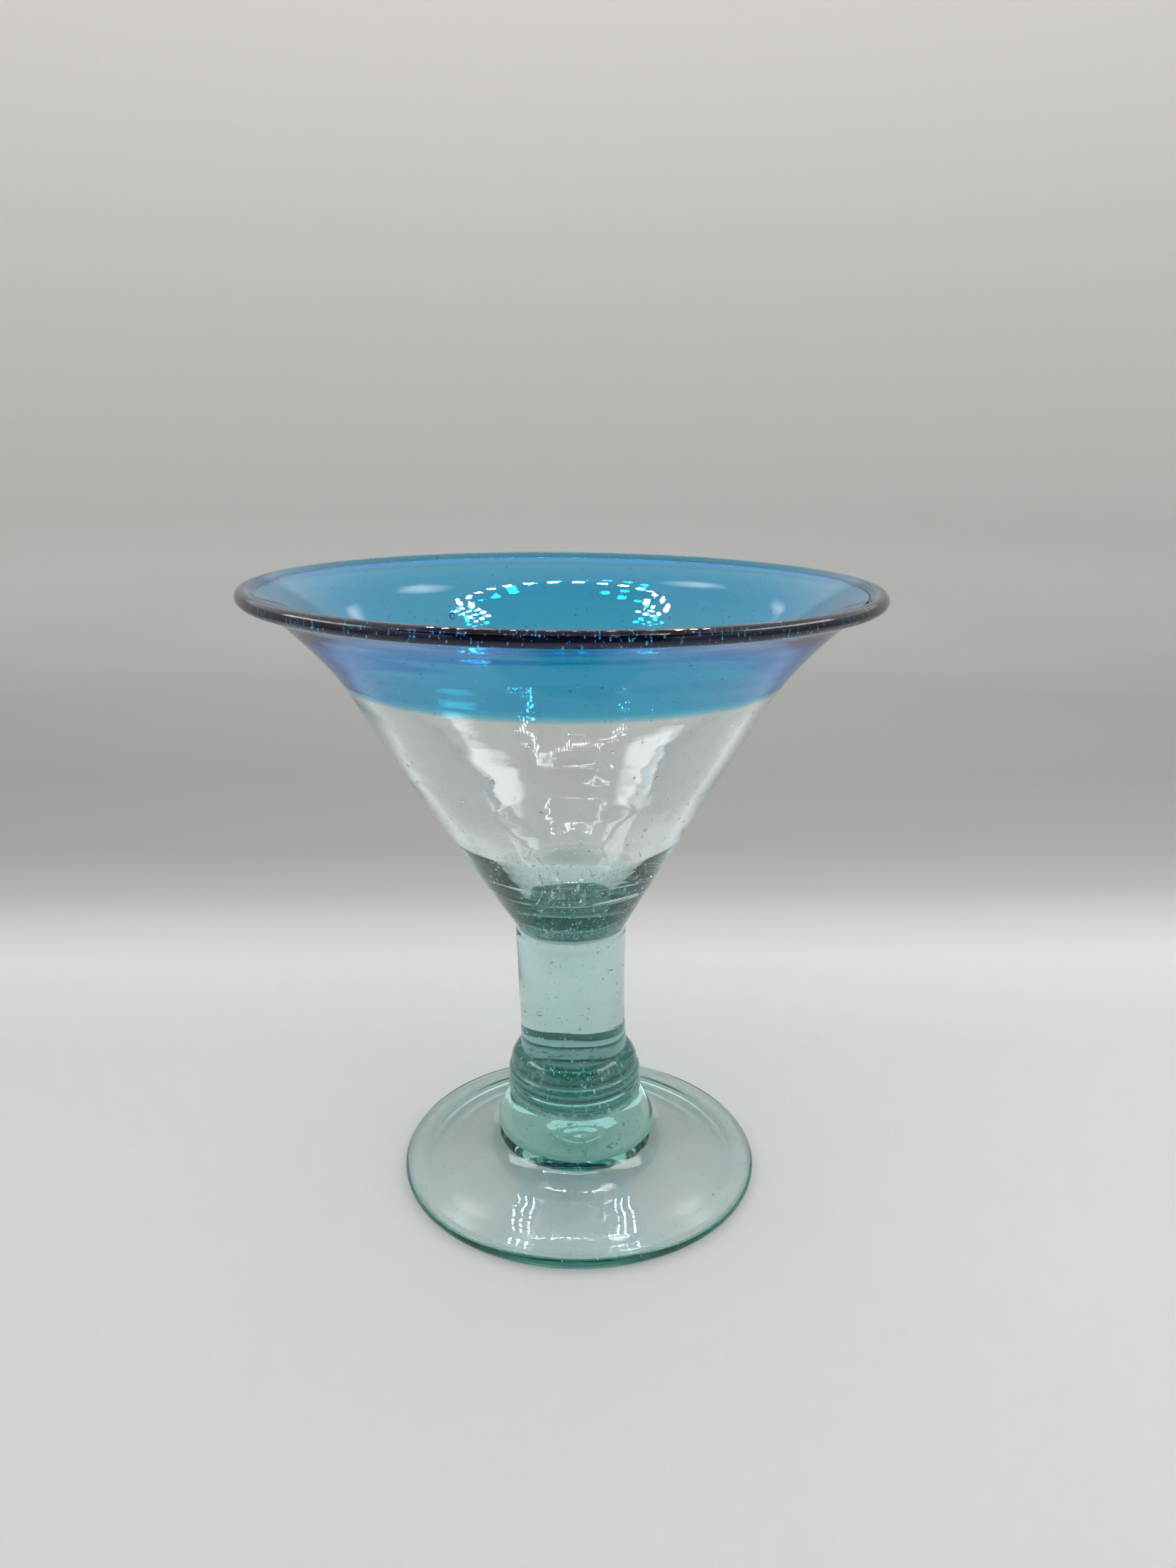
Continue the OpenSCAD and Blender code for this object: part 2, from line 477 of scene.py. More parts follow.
class Shading:
    """A new material and its nodes.

    Attributes:
        made: The material.
        nodes: Its nodes.
        shader: Its main shader.
        output: Its output node.
    """

    def __init__(self, name: str) -> None:
        """Makes the material.

        Args:
            name: Its name.
        """
        self.made = bpy.data.materials.new(name)
        self.made.use_nodes = True
        self.nodes = self.made.node_tree.nodes
        self.shader = self.nodes["Principled BSDF"]
        self.output = self.nodes["Material Output"]

    def fill(self, node: bpy.types.Node, inputs: dict[str | int, object]) -> None:
        """Sets inputs of a node, and links those that are given another node's output.

        Args:
            node: The node.
            inputs: The value or output for each input, by its name or number.
        """
        for key, value in inputs.items():
            if isinstance(value, bpy.types.NodeSocket):
                self.made.node_tree.links.new(value, node.inputs[key])
            else:
                node.inputs[key].default_value = value

    def add(self, kind: str, inputs: dict[str | int, object], operation: str = "") -> bpy.types.NodeOutputs:
        """Adds a node.

        Args:
            kind: Its type, without the word ShaderNode.
            inputs: The value or output for each input, by its name or number.
            operation: What the node does, where its type has a choice.

        Returns:
            Its outputs.
        """
        node = self.nodes.new("ShaderNode" + kind)
        if operation:
            node.operation = operation
        self.fill(node, inputs)
        return node.outputs

    def number(self, operation: str, *values: object) -> bpy.types.NodeSocket:
        """Works out a number.

        Args:
            operation: What to do with the values.
            values: Numbers or outputs.

        Returns:
            The number's output.
        """
        return self.add("Math", dict(enumerate(values)), operation)["Value"]

    def vector(self, operation: str, *values: object) -> bpy.types.NodeSocket:
        """Works out a vector, or the length of one.

        Args:
            operation: What to do with the values.
            values: Vectors or outputs.

        Returns:
            The output of the vector or of its length.
        """
        outputs = self.add("VectorMath", dict(enumerate(values)), operation)
        return outputs["Value" if operation == "LENGTH" else "Vector"]

    def attribute(self, name: str) -> bpy.types.NodeSocket:
        """Reads an attribute of the mesh.

        Args:
            name: Name of the attribute.

        Returns:
            The output of its value.
        """
        node = self.nodes.new("ShaderNodeAttribute")
        node.attribute_name = name
        return node.outputs["Fac"]


@dataclass(frozen=True)
class GlassFinish:
    """Glass that takes up light as it passes through.

    The take-up of red, green and blue per metre is the density times one minus the kept colour.

    Attributes:
        name: Name of the material.
        kept: Colour of the light that the glass doesn't take up.
        density: Strength of the take-up, per metre.
        ripple: Strength of the fine surface ripples.
        ripple_scale: Ripples per metre along the outline.
        ripple_turns: Scale of the ripples round the axis, which draws them out into rings.
        ripple_depth: Height of a ripple in metres.
        ior: Refractive index.
    """

    name: str
    kept: Colour
    density: float
    ripple: float
    ripple_scale: float = 500.0
    ripple_turns: float = 3.0
    ripple_depth: float = 0.0002
    ior: float = 1.5

    def material(self) -> bpy.types.Material:
        """Builds the material.

        The refractive index is the glass's own on the skin and one on a fused face. The ripples are
        noise that is stretched round the axis, because the glass was turned while it was hot. It reads
        the direction from the axis and, along the outline, the radius plus the height.

        Returns:
            The material.
        """
        glass = Shading(self.name)
        fused = glass.attribute("fused")
        index = glass.add("MapRange", {"Value": fused, "To Min": self.ior, "To Max": 1.0})
        split = glass.add("SeparateXYZ", {"Vector": glass.add("TexCoord", {})["Object"]})
        flat = glass.add("CombineXYZ", {"X": split["X"], "Y": split["Y"]})["Vector"]
        along = glass.number("ADD", glass.vector("LENGTH", flat), split["Z"])
        turn = glass.add("SeparateXYZ", {"Vector": glass.vector("NORMALIZE", flat)})
        wide = glass.add("CombineXYZ", {
            "X": glass.number("MULTIPLY", turn["X"], self.ripple_turns),
            "Y": glass.number("MULTIPLY", turn["Y"], self.ripple_turns),
            "Z": glass.number("MULTIPLY", along, self.ripple_scale),
        })["Vector"]
        noise = glass.add("TexNoise", {"Vector": wide, "Scale": 1.0, "Detail": 2.0, "Roughness": 0.5})["Fac"]
        bump = glass.add("Bump", {"Height": noise, "Strength": self.ripple, "Distance": self.ripple_depth})
        taken = glass.add("VolumeAbsorption", {"Color": (*self.kept, 1.0), "Density": self.density})
        glass.fill(glass.shader, {
            "Base Color": (1.0, 1.0, 1.0, 1.0),
            "Roughness": 0.0,
            "Transmission Weight": 1.0,
            "IOR": index["Result"],
            "Normal": bump["Normal"],
        })
        glass.fill(glass.output, {"Volume": taken["Volume"]})
        return glass.made


@dataclass(frozen=True)
class SeedFinish:
    """The skin of the small bubbles in the glass.

    Attributes:
        name: Name of the material.
        tint: Colour of the light that goes through.
        ior: Refractive index.
    """

    name: str
    tint: Colour
    ior: float = 1.8

    def material(self) -> bpy.types.Material:
        """Builds the material.

        Returns:
            A clear material of a plain refractive index.
        """
        skin = Shading(self.name)
        skin.fill(skin.shader, {
            "Base Color": (*self.tint, 1.0),
            "Roughness": 0.0,
            "Transmission Weight": 1.0,
            "IOR": self.ior,
        })
        return skin.made


PALE = GlassFinish("pale_glass", (0.0, 0.62, 0.55), 16.0, ripple=0.04)
BASE_GLASS = GlassFinish("base_green_glass", (0.0, 0.44, 0.41), 84.0, ripple=0.06)
STEM_GLASS = GlassFinish("stem_pale_glass", (0.0, 0.53, 0.48), 22.0, ripple=0.06)
HUB_GLASS = GlassFinish("hub_green_glass", (0.0, 0.49, 0.43), 27.0, ripple=0.08)
KNOP_GLASS = GlassFinish("knop_green_glass", (0.0, 0.47, 0.42), 68.0, ripple=0.10)
FOOT_GLASS = GlassFinish("foot_pale_glass", (0.0, 0.62, 0.56), 41.0, ripple=0.05)
TURQUOISE = GlassFinish("turquoise_glass", (0.0, 0.80, 0.958), 800.0, ripple=0.05)
DARK_LIP = GlassFinish("dark_lip_glass", (0.0, 0.77, 0.885), 950.0, ripple=0.10)
CLEAR_SEEDS = SeedFinish("clear_seeds", (1.0, 1.0, 1.0))
BLUE_SEEDS = SeedFinish("blue_seeds", (0.75, 0.95, 1.0))


# The pieces

# Joints between the pieces, as radius and height in millimetres
HUB_SEAT = (20.4, 11.5)
KNOP_SEAT = (17.45, 21.6)
STEM_SEAT = (14.1, 35.2)
BOWL_SEAT = (14.3, 70.3)
GATHER_OUT = (22.03, 83.0)
GATHER_IN = (16.83, 83.0)
BAND_OUT = (53.2, 135.3)
BAND_IN = (51.27, 137.9)
LIP_OUT = (72.9, 154.1)
LIP_IN = (71.6, 156.7)
# Where the cone starts to open into the flare
FLARE_START = (51.25, 132.25)

# Outside of the bowl below the band, from its outline in the photograph
CONE_HEIGHTS = np.array([BOWL_SEAT[1], 72, 76, 80, 84, 86.24, 90, 96, 104, 112, 120, 128,
                         FLARE_START[1], BAND_OUT[1]])
CONE_RADII = np.array([BOWL_SEAT[0], 15.35, 17.75, 20.1, 22.6, 23.95, 26.1, 29.75, 34.7, 39.4, 44.1, 48.7,
                       FLARE_START[0], BAND_OUT[0]])


def cone_out(height: np.ndarray) -> np.ndarray:
    """Outside radius of the bowl below the band.

    Args:
        height: Heights in millimetres.

    Returns:
        Radii in millimetres.
    """
    return smooth_curve(CONE_HEIGHTS, CONE_RADII, height)


def cone_side(start: Point, end: Point, rings: int) -> np.ndarray:
    """Outline of the bowl's outside between two joints.

    Args:
        start: The lower joint's outer rim, as radius and height in millimetres.
        end: The upper joint's outer rim.
        rings: Number of points.

    Returns:
        The points, with both rims.
    """
    heights = np.linspace(start[1], end[1], rings)
    side = np.stack([cone_out(heights), heights], axis=1)
    side[0], side[-1] = start, end
    return side


@dataclass
class Piece:
    """One piece of glass that stands for a node of the solid model.

    Attributes:
        node: Name of the node.
        slot: Material slot of the record; not used.
        finish: Its glass.
        around: Number of angles round the axis.
        blow: Its unevenness.
    """

    node: str
    slot: Slot
    finish: GlassFinish
    around: int = 288
    blow: Blow = Blow()

    def outline(self) -> Outline:
        """The outline of the piece.

        Returns:
            An anticlockwise outline.
        """
        raise NotImplementedError

    def build(self) -> bpy.types.Object:
        """Makes the piece, gives it its glass and ties it to the frame.

        Returns:
            The object.
        """
        name = self.node + "_glass"
        mesh = turned_mesh(name, self.outline(), self.blow, self.around)
        made = place_object(name, mesh, self.finish.material())
        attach(made, "root")
        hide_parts(self.node)
        LOG.info("%s: %d faces, %.0f cubic mm", name, len(mesh.polygons), outward(mesh) / Unit.MM ** 3)
        return made


@dataclass
class Foot(Piece):
    """The foot: a shallow hollow cone with a rounded edge and a scar where it was held.

    Attributes:
        under: Points of its underside, from the axis out to the ring on which the glass rests.
        edge: Points of its rounded edge, from that ring up.
        top: Points of its top, from the edge in to the hub.
    """

    under: tuple[Point, ...] = (
        (0.0, 7.3), (2.0, 7.24), (3.4, 7.38), (4.6, 7.36), (6.2, 7.52), (14.0, 7.3), (20.0, 6.5),
        (26.0, 4.75), (34.0, 2.45), (40.0, 0.85), (42.4, 0.15), (43.6, 0.0))
    edge: tuple[Point, ...] = (
        (45.9, 0.03), (47.1, 0.4), (47.5, 1.3), (47.45, 2.2), (46.95, 2.95), (45.8, 3.3))
    top: tuple[Point, ...] = (
        (43.5, 3.55), (40.0, 3.95), (34.0, 5.0), (28.0, 6.5), (24.0, 8.4), (21.7, 10.2))

    def outline(self) -> Outline:
        """Runs out under the foot, round its edge, up to the hub and in along their joint.

        Returns:
            An anticlockwise outline.
        """
        return (Outline()
                .add(through(self.under, step=0.5))
                .add(through([self.under[-1], *self.edge], step=0.15))
                .add(through([self.edge[-1], *self.top, HUB_SEAT], step=0.4))
                .fuse_over(HUB_SEAT))


@dataclass
class Pillar(Piece):
    """A solid gather between two level joints.

    Attributes:
        below: Rim of the joint under it, as radius and height in millimetres.
        side: Points of its side between the joints.
        above: Rim of the joint on top of it.
        step: Distance between the rings of its side, in millimetres.
    """

    below: Point = HUB_SEAT
    side: tuple[Point, ...] = ()
    above: Point = KNOP_SEAT
    step: float = 0.3

    def outline(self) -> Outline:
        """Runs out along the lower joint, up the side and in along the upper joint.

        Returns:
            An anticlockwise outline.
        """
        return (Outline()
                .fuse_under(self.below)
                .add(through([self.below, *self.side, self.above], self.step))
                .fuse_over(self.above))


@dataclass
class Hub(Pillar):
    """The hub between the foot and the knop."""

    below: Point = HUB_SEAT
    side: tuple[Point, ...] = (
        (20.9, 12.0), (21.05, 13.0), (20.85, 14.5), (20.2, 16.2), (19.2, 18.2), (18.25, 20.0), (17.7, 21.1))
    above: Point = KNOP_SEAT
    step: float = 0.3


@dataclass
class Knop(Pillar):
    """The knop in which the stem stands, with two shallow tool rings."""

    below: Point = KNOP_SEAT
    side: tuple[Point, ...] = (
        (17.6, 22.2), (17.8, 23.4), (17.75, 24.8), (17.5, 25.8), (17.1, 26.3), (17.4, 26.8), (17.65, 27.8),
        (17.5, 28.9), (17.1, 29.8), (16.55, 30.3), (16.8, 30.8), (16.75, 31.8), (16.2, 33.0), (15.3, 34.2),
        (14.5, 34.9))
    above: Point = STEM_SEAT
    step: float = 0.2


@dataclass
class Stem(Pillar):
    """The solid stem, with a slight waist."""

    below: Point = STEM_SEAT
    side: tuple[Point, ...] = (
        (14.12, 36.2), (14.02, 40.0), (13.92, 46.0), (13.95, 53.0), (14.08, 60.0), (14.3, 66.0),
        (14.32, 68.5), (14.15, 69.6))
    above: Point = BOWL_SEAT
    step: float = 0.4


@dataclass
class BowlBase(Piece):
    """The solid glass under the bowl, with a ball-shaped floor.

    Attributes:
        floor_radius: Radius of the floor's ball in millimetres.
        floor_middle: Height of the ball's middle.
        floor_angle: How far the ball reaches up from its lowest point, in degrees.
        shoulder: Point of the inside between the wall and the ball.
        side_rings: Number of points up the outside.
        floor_rings: Number of points along the ball.
    """

    floor_radius: float = 18.5
    floor_middle: float = 91.3
    floor_angle: float = 54.0
    shoulder: Point = (15.9, 81.71)
    side_rings: int = 34
    floor_rings: int = 61

    def outline(self) -> Outline:
        """Runs out over the stem, up the outside, in along the wall's joint and down into the floor.

        Returns:
            An anticlockwise outline.
        """
        turn = np.linspace(math.radians(self.floor_angle), 0.0, self.floor_rings)
        height = self.floor_middle - self.floor_radius * np.cos(turn)
        ball = np.stack([self.floor_radius * np.sin(turn), height], axis=1)
        return (Outline()
                .fuse_under(BOWL_SEAT)
                .add(cone_side(BOWL_SEAT, GATHER_OUT, self.side_rings))
                .fuse(GATHER_OUT, GATHER_IN)
                .add(np.concatenate([[GATHER_IN, self.shoulder], ball]), side=-1.0))


@dataclass
class BowlWall(Piece):
    """The clear cone of the bowl.

    Attributes:
        thickness: Thickness of the wall, measured level, in millimetres.
        flare_slope: Growth of the inside's radius with height above the start of the flare.
        foot_slope: Growth of the inside's radius with height above the base, where the wall is thicker.
        side_rings: Number of points up the outside.
        inside_rings: Number of points down the inside.
    """

    thickness: float = 3.48
    flare_slope: float = 0.62
    foot_slope: float = 0.725
    side_rings: int = 84
    inside_rings: int = 88

    def outline(self) -> Outline:
        """Runs up the outside, in along the band's joint, down the inside and out over the base.

        Returns:
            An anticlockwise outline.
        """
        down = np.linspace(BAND_IN[1], GATHER_IN[1], self.inside_rings)
        flare = FLARE_START[0] + self.flare_slope * (down - FLARE_START[1])
        thin = np.where(down < FLARE_START[1], cone_out(down), flare) - self.thickness
        thick = GATHER_IN[0] + self.foot_slope * (down - GATHER_IN[1])
        inside = np.stack([np.minimum(thin, thick), down], axis=1)
        inside[0], inside[-1] = BAND_IN, GATHER_IN
        return (Outline()
                .add(cone_side(GATHER_OUT, BAND_OUT, self.side_rings))
                .fuse(BAND_OUT, BAND_IN)
                .add(inside, side=-1.0)
                .fuse(GATHER_IN, GATHER_OUT))


@dataclass
class ColourBand(Piece):
    """The turquoise band: the top of the cone and the flare.

    Attributes:
        side: Points of its outside, from the wall up to the bead.
        inside: Points of its inside, from the bead down to the wall.
        step: Distance between its rings, in millimetres.
    """

    side: tuple[Point, ...] = (
        (54.8, 137.6), (56.6, 139.9), (59.6, 143.4), (63.0, 147.0), (66.4, 150.2), (69.6, 152.5))
    inside: tuple[Point, ...] = (
        (69.6, 155.75), (67.0, 154.4), (64.0, 152.4), (60.6, 149.3), (57.2, 145.5), (54.2, 141.9),
        (52.4, 139.5))
    step: float = 0.45

    def outline(self) -> Outline:
        """Runs up the outside, in along the bead's joint, down the inside and out over the wall.

        Returns:
            An anticlockwise outline.
        """
        return (Outline()
                .add(through([BAND_OUT, *self.side, LIP_OUT], self.step))
                .fuse(LIP_OUT, LIP_IN)
                .add(through([LIP_IN, *self.inside, BAND_IN], self.step), side=-1.0)
                .fuse(BAND_IN, BAND_OUT))


@dataclass
class Bead(Piece):
    """The fire-rounded bead of the lip.

    Attributes:
        around_lip: Points of its skin, from the outside over the top to the inside.
        step: Distance between its rings, in millimetres.
    """

    around_lip: tuple[Point, ...] = (
        (74.1, 154.25), (75.3, 154.75), (75.95, 155.7), (75.85, 156.8), (75.1, 157.65), (74.0, 157.9),
        (72.8, 157.4))
    step: float = 0.18

    def outline(self) -> Outline:
        """Runs over the lip and back along the band's joint.

        Returns:
            An anticlockwise outline.
        """
        return (Outline()
                .add(through([LIP_OUT, *self.around_lip, LIP_IN], self.step))
                .fuse(LIP_IN, LIP_OUT))


# The bubbles


def ball_template() -> tuple[np.ndarray, np.ndarray]:
    """A small ball of twenty faces.

    The corners of an icosahedron are the even turns of zero, one and the golden ratio.

    Returns:
        Its twelve corners at radius one, and its triangles with outward faces.
    """
    g = (1 + math.sqrt(5)) / 2
    corners = np.array([(-1, g, 0), (1, g, 0), (-1, -g, 0), (1, -g, 0), (0, -1, g), (0, 1, g),
                        (0, -1, -g), (0, 1, -g), (g, 0, -1), (g, 0, 1), (-g, 0, -1), (-g, 0, 1)], float)
    faces = np.array([(0, 11, 5), (0, 5, 1), (0, 1, 7), (0, 7, 10), (0, 10, 11), (1, 5, 9), (5, 11, 4),
                      (11, 10, 2), (10, 7, 6), (7, 1, 8), (3, 9, 4), (3, 4, 2), (3, 2, 6), (3, 6, 8),
                      (3, 8, 9), (4, 9, 5), (2, 4, 11), (6, 2, 10), (8, 6, 7), (9, 8, 1)])
    return corners / np.linalg.norm(corners[0]), faces


@dataclass
class Seeds:
    """Small bubbles inside one piece of glass.

    Attributes:
        name: Name of the object.
        slot: Material slot of the glass they are in; not used.
        finish: Their skin.
        count: Number of bubbles.
        spread: Gives places from random numbers: angles, radii and heights in millimetres.
        size: Smallest and largest radius in millimetres.
        seed: Seed of the random choice.
        stretch: Largest share by which a bubble is taller than it is wide.
    """

    name: str
    slot: Slot
    finish: SeedFinish
    count: int
    spread: Spread
    size: tuple[float, float]
    seed: int
    stretch: float = 0.6

    def build(self) -> bpy.types.Object:
        """Makes the bubbles as one object and ties it to the frame.

        A bubble's radius is the smallest one plus the span times the cube of a random number, so that
        most are small.

        Returns:
            The object.
        """
        random = np.random.default_rng(self.seed)
        middle = leaning(*self.spread(random, self.count))
        size = self.size[0] + (self.size[1] - self.size[0]) * random.random(self.count) ** 3
        tall = 1.0 + self.stretch * random.random(self.count) ** 2
        stretch = np.stack([np.ones(self.count), np.ones(self.count), tall], axis=1)
        corners, faces = ball_template()
        points = middle[:, None, :] + corners[None] * (size[:, None] * stretch)[:, None, :]
        loops = (np.arange(self.count)[:, None, None] * len(corners) + faces[None]).ravel()
        sizes = np.full(self.count * len(faces), 3)
        mesh = mesh_from(self.name, points.reshape(-1, 3) * Unit.MM, loops, sizes)
        made = place_object(self.name, mesh, self.finish.material())
        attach(made, "root")
        LOG.info("%s: %d bubbles", self.name, self.count)
        return made


def in_wall(random: np.random.Generator, count: int, low: float, high: float, bias: float) -> Places:
    """Places in the wall of the bowl between two heights, 0.6 to 2.7 mm below its outside.

    Args:
        random: Random numbers.
        count: Number of places.
        low: Lowest height in millimetres.
        high: Highest height in millimetres.
        bias: Power of the random height; above one there are more bubbles low down.

    Returns:
        Angles, radii and heights.
    """
    slant = 0.86  # cosine of the wall's slope
    height = low + (high - low) * random.random(count) ** bias
    depth = random.uniform(0.6, 2.7, count)
    return random.uniform(0, FULL_TURN, count), cone_out(height) - depth / slant, height


def in_flare(random: np.random.Generator, count: int) -> Places:
    """Places in the flare, within 0.7 mm of the middle between its outside and inside.

    Args:
        random: Random numbers.
        count: Number of places.

    Returns:
        Angles, radii and heights.
    """
    low, high = 138.0, 154.0
    heights = (low, 141, 145.5, 149.3, 152.7, 154.6)
    middles = (53.0, 55.5, 59.2, 62.6, 67.2, 71.5)
    height = random.uniform(low, high, count)
    middle = np.interp(height, heights, middles)
    return random.uniform(0, FULL_TURN, count), middle + random.uniform(-0.7, 0.7, count), height


def in_bead(random: np.random.Generator, count: int) -> Places:
    """Places in the bead: in a circle about the middle of its section.

    Args:
        random: Random numbers.
        count: Number of places.

    Returns:
        Angles, radii and heights.
    """
    middle_radius, middle_height, reach = 74.0, 156.1, 1.5
    turn = random.uniform(0, FULL_TURN, count)
    out = reach * np.sqrt(random.random(count))
    theta = random.uniform(0, FULL_TURN, count)
    return theta, middle_radius + out * np.cos(turn), middle_height + out * np.sin(turn)


def in_pillar(random: np.random.Generator, count: int, low: float, high: float, radius: float) -> Places:
    """Places inside a solid pillar.

    Args:
        random: Random numbers.
        count: Number of places.
        low: Lowest height in millimetres.
        high: Highest height in millimetres.
        radius: Radius in millimetres.

    Returns:
        Angles, radii and heights.
    """
    height = random.uniform(low, high, count)
    return random.uniform(0, FULL_TURN, count), radius * np.sqrt(random.random(count)), height


def in_base(random: np.random.Generator, count: int) -> Places:
    """Places in the solid glass between the outside of the bowl's base and its floor, which is a ball.

    The height is the lower limit plus a tenth to nine tenths of the way to the floor.

    Args:
        random: Random numbers.
        count: Number of places.

    Returns:
        Angles, radii and heights.
    """
    reach, ball_radius, ball_middle = 17.5, 18.3, 90.6
    radius = reach * np.sqrt(random.random(count))
    low = np.interp(radius, [0.0, 13.5, reach], [70.9, 71.2, 77.0])
    high = ball_middle - np.sqrt(ball_radius ** 2 - radius ** 2)
    height = low + np.clip(high - low, 0.0, None) * random.uniform(0.1, 0.9, count)
    return random.uniform(0, FULL_TURN, count), radius, height


def in_foot(random: np.random.Generator, count: int) -> Places:
    """Places in the foot, within 0.4 mm of the middle of its thickness.

    The radius is the inner one plus the width times a random number to the power of 0.35, so that a
    fair share of them is close to the edge.

    Args:
        random: Random numbers.
        count: Number of places.

    Returns:
        Angles, radii and heights.
    """
    inner, width = 18.0, 28.4
    radius = inner + width * random.random(count) ** 0.35
    middle = np.interp(radius, [inner, 24, 34, 40, inner + width], [8.6, 7.0, 4.2, 2.7, 1.7])
    return random.uniform(0, FULL_TURN, count), radius, middle + random.uniform(-0.4, 0.4, count)


def at_one_place(random: np.random.Generator, count: int, theta: float, radius: float,
                 height: float) -> Places:
    """The place of a single large bubble.

    Args:
        random: Random numbers, which a known place doesn't need.
        count: Number of places.
        theta: Angle in radians.
        radius: Radius in millimetres.
        height: Height in millimetres.

    Returns:
        Angles, radii and heights.
    """
    return np.full(count, theta), np.full(count, radius), np.full(count, height)


WALL_SPREAD = partial(in_wall, low=84.5, high=134.5, bias=1.3)
STEM_SPREAD = partial(in_pillar, low=36.0, high=69.5, radius=13.2)
KNOP_SPREAD = partial(in_pillar, low=12.5, high=34.0, radius=15.2)
LARGE_BUBBLE = partial(at_one_place, theta=2.188, radius=55.9, height=142.1)


@dataclass
class Glass:
    """The whole glass.

    Attributes:
        pieces: Pieces that stand for the nodes of the solid model.
        seeds: Bubbles.
    """

    pieces: list[Piece]
    seeds: list[Seeds]

    def build(self) -> None:
        """Makes every piece."""
        for part in (*self.pieces, *self.seeds):
            part.build()


def make_glass() -> Glass:
    """Lists the pieces of the glass from the foot up.

    Returns:
        The glass.
    """
    pieces = [
        Foot("foot_disc", Slot.FOOT, FOOT_GLASS, around=320),
        Hub("foot_hub", Slot.STEM, HUB_GLASS),
        Knop("knop", Slot.STEM, KNOP_GLASS),
        Stem("stem", Slot.STEM, STEM_GLASS),
        BowlBase("bowl_base", Slot.BASE, BASE_GLASS),
        BowlWall("bowl_wall", Slot.WALL, PALE, around=360),
        ColourBand("colour_band", Slot.BAND, TURQUOISE, around=360),
        Bead("rim_bead", Slot.LIP, DARK_LIP, around=360),
    ]
    seeds = [
        Seeds("wall_seeds", Slot.WALL, CLEAR_SEEDS, 650, WALL_SPREAD, (0.10, 0.46), seed=21),
        Seeds("band_seeds", Slot.BAND, BLUE_SEEDS, 800, in_flare, (0.09, 0.34), seed=22),
        Seeds("large_bubble", Slot.BAND, BLUE_SEEDS, 1, LARGE_BUBBLE, (1.0, 1.0), seed=28),
        Seeds("bead_seeds", Slot.LIP, BLUE_SEEDS, 1200, in_bead, (0.10, 0.31), seed=23),
        Seeds("stem_seeds", Slot.STEM, CLEAR_SEEDS, 360, STEM_SPREAD, (0.09, 0.32), seed=24),
        Seeds("knop_seeds", Slot.STEM, CLEAR_SEEDS, 800, KNOP_SPREAD, (0.12, 0.40), seed=25),
        Seeds("base_seeds", Slot.BASE, CLEAR_SEEDS, 1100, in_base, (0.12, 0.38), seed=26),
        Seeds("foot_seeds", Slot.FOOT, CLEAR_SEEDS, 360, in_foot, (0.08, 0.28), seed=27),
    ]
    return Glass(pieces, seeds)


# The stage


